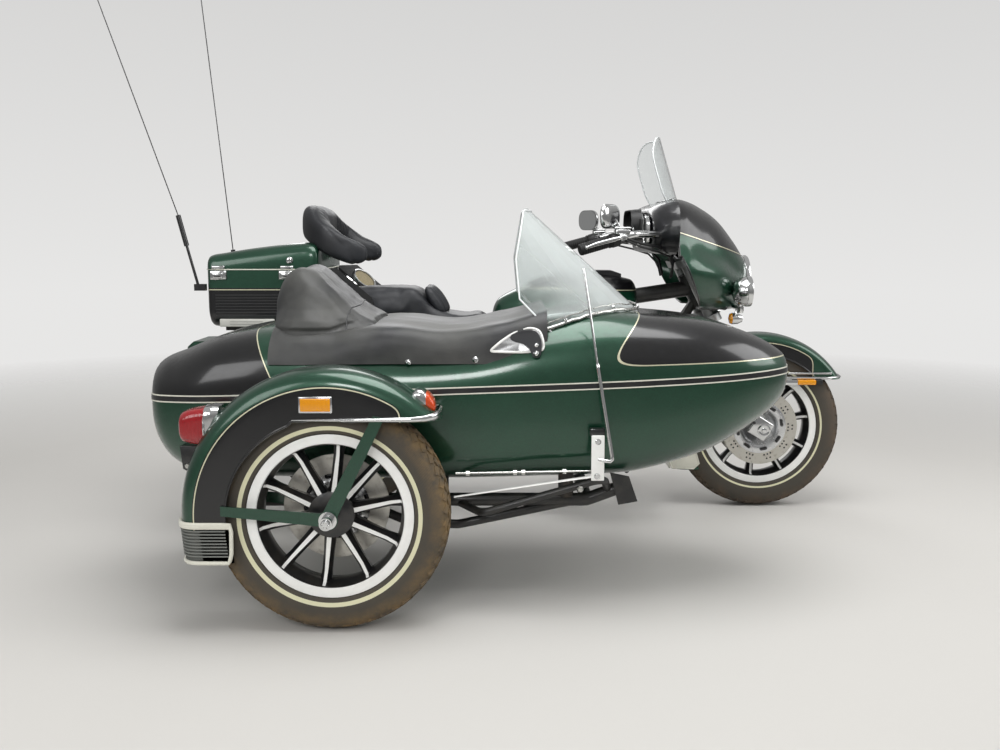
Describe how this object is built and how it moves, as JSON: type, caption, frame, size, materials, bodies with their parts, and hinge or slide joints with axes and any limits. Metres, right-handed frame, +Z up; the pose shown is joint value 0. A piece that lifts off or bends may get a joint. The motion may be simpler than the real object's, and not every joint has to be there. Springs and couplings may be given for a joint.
{
  "type": "sidecar motorcycle",
  "caption": "Touring V-twin motorcycle with a fairing, trunk and saddlebags, and a boat-shaped sidecar with a covered cockpit on its right.",
  "frame": {"origin": "centre of the whole machine's footprint, on the ground", "axes": "+X forward, +Y to the motorcycle's left, away from the sidecar, +Z up"},
  "size_m": [2.7699, 1.9174, 2.0502],
  "materials": {
    "green_paint": "metallic dark green paint",
    "black_paint": "gloss black paint",
    "chrome": "bright chrome plating",
    "cast_black": "black enamel on cast aluminium",
    "polished_aluminium": "polished",
    "brake_steel": "brushed stainless steel",
    "tyre_rubber": "road tyre with a white wall line",
    "black_vinyl": "soft vinyl",
    "clear_plastic": "clear sheet",
    "black_plastic": "moulded black plastic",
    "rubber": "moulded rubber",
    "amber_lens": "amber and red lamp lenses",
    "mirror_glass": "silvered glass"
  },
  "bodies": {
    "chassis": {"bike_frame": "black_paint", "engine_cases": "polished_aluminium", "primary_cover": "chrome", "cylinders": "cast_black", "air_cleaner": "chrome", "exhaust": "chrome", "fuel_tank": "green_paint", "tank_console": "black_plastic", "seat": "black_vinyl", "rider_backrest": "black_vinyl", "trunk_body": "black_paint", "trunk_speakers": "black_plastic", "antennas": "black_plastic", "saddlebags": "green_paint", "rear_fender": "green_paint", "plate_bracket": "chrome", "rear_lamps": "amber_lens", "swingarm": "black_paint", "footboards": "rubber", "engine_guard": "chrome", "sidecar_body": "green_paint", "tonneau": "black_vinyl", "sidecar_windscreen": "clear_plastic", "sidecar_fender": "green_paint", "mud_flap": "rubber", "fender_stays": "green_paint", "sidecar_lamps": "amber_lens", "sidecar_frame": "black_paint", "marker_rod": "chrome", "body_mounts": "rubber"},
    "trunk_lid": {"trunk_lid": "green_paint", "backrest": "black_vinyl"},
    "left_bag_lid": {"left_bag_lid": "green_paint"},
    "right_bag_lid": {"right_bag_lid": "green_paint"},
    "side_stand": {"side_stand": "black_paint"},
    "steering": {"fork": "chrome", "front_fender": "green_paint", "fairing": "green_paint", "fairing_inner": "black_plastic", "windscreen": "clear_plastic", "headlamp": "chrome", "spot_lamps": "chrome", "handlebar": "chrome", "hand_controls": "chrome", "mirrors": "mirror_glass"},
    "front_wheel": {"front_tyre": "tyre_rubber", "front_rim": "cast_black", "front_brake_discs": "brake_steel"},
    "rear_wheel": {"rear_tyre": "tyre_rubber", "rear_rim": "cast_black", "rear_brake_disc": "brake_steel"},
    "sidecar_wheel": {"sidecar_tyre": "tyre_rubber", "sidecar_rim": "cast_black", "sidecar_brake_disc": "brake_steel"}
  },
  "joints": [
    {"name": "steering_turn", "type": "hinge", "parent": "chassis", "child": "steering", "pos_m": [0.788, 0.48, 0.9], "axis": [-0.4384, 0, 0.8988], "range_deg": [-35, 35]},
    {"name": "front_wheel_spin", "type": "hinge", "parent": "steering", "child": "front_wheel", "pos_m": [1.07, 0.48, 0.318], "axis": [0, 1, 0], "continuous": true},
    {"name": "rear_wheel_spin", "type": "hinge", "parent": "chassis", "child": "rear_wheel", "pos_m": [-0.53, 0.48, 0.318], "axis": [0, 1, 0], "continuous": true},
    {"name": "sidecar_wheel_spin", "type": "hinge", "parent": "chassis", "child": "sidecar_wheel", "pos_m": [-0.39, -0.82, 0.318], "axis": [0, 1, 0], "continuous": true},
    {"name": "trunk_lid_hinge", "type": "hinge", "parent": "chassis", "child": "trunk_lid", "pos_m": [-0.8, 0.742, 0.935], "axis": [-1, 0, 0], "range_deg": [0, 80]},
    {"name": "left_bag_lid_hinge", "type": "hinge", "parent": "chassis", "child": "left_bag_lid", "pos_m": [-0.73, 0.942, 0.639], "axis": [-1, 0, 0], "range_deg": [0, 100]},
    {"name": "right_bag_lid_hinge", "type": "hinge", "parent": "chassis", "child": "right_bag_lid", "pos_m": [-0.73, 0.018, 0.639], "axis": [1, 0, 0], "range_deg": [0, 90]},
    {"name": "side_stand_swing", "type": "hinge", "parent": "chassis", "child": "side_stand", "pos_m": [0.03, 0.632, 0.19], "axis": [0, -1, 0], "range_deg": [0, 28]}
  ]
}
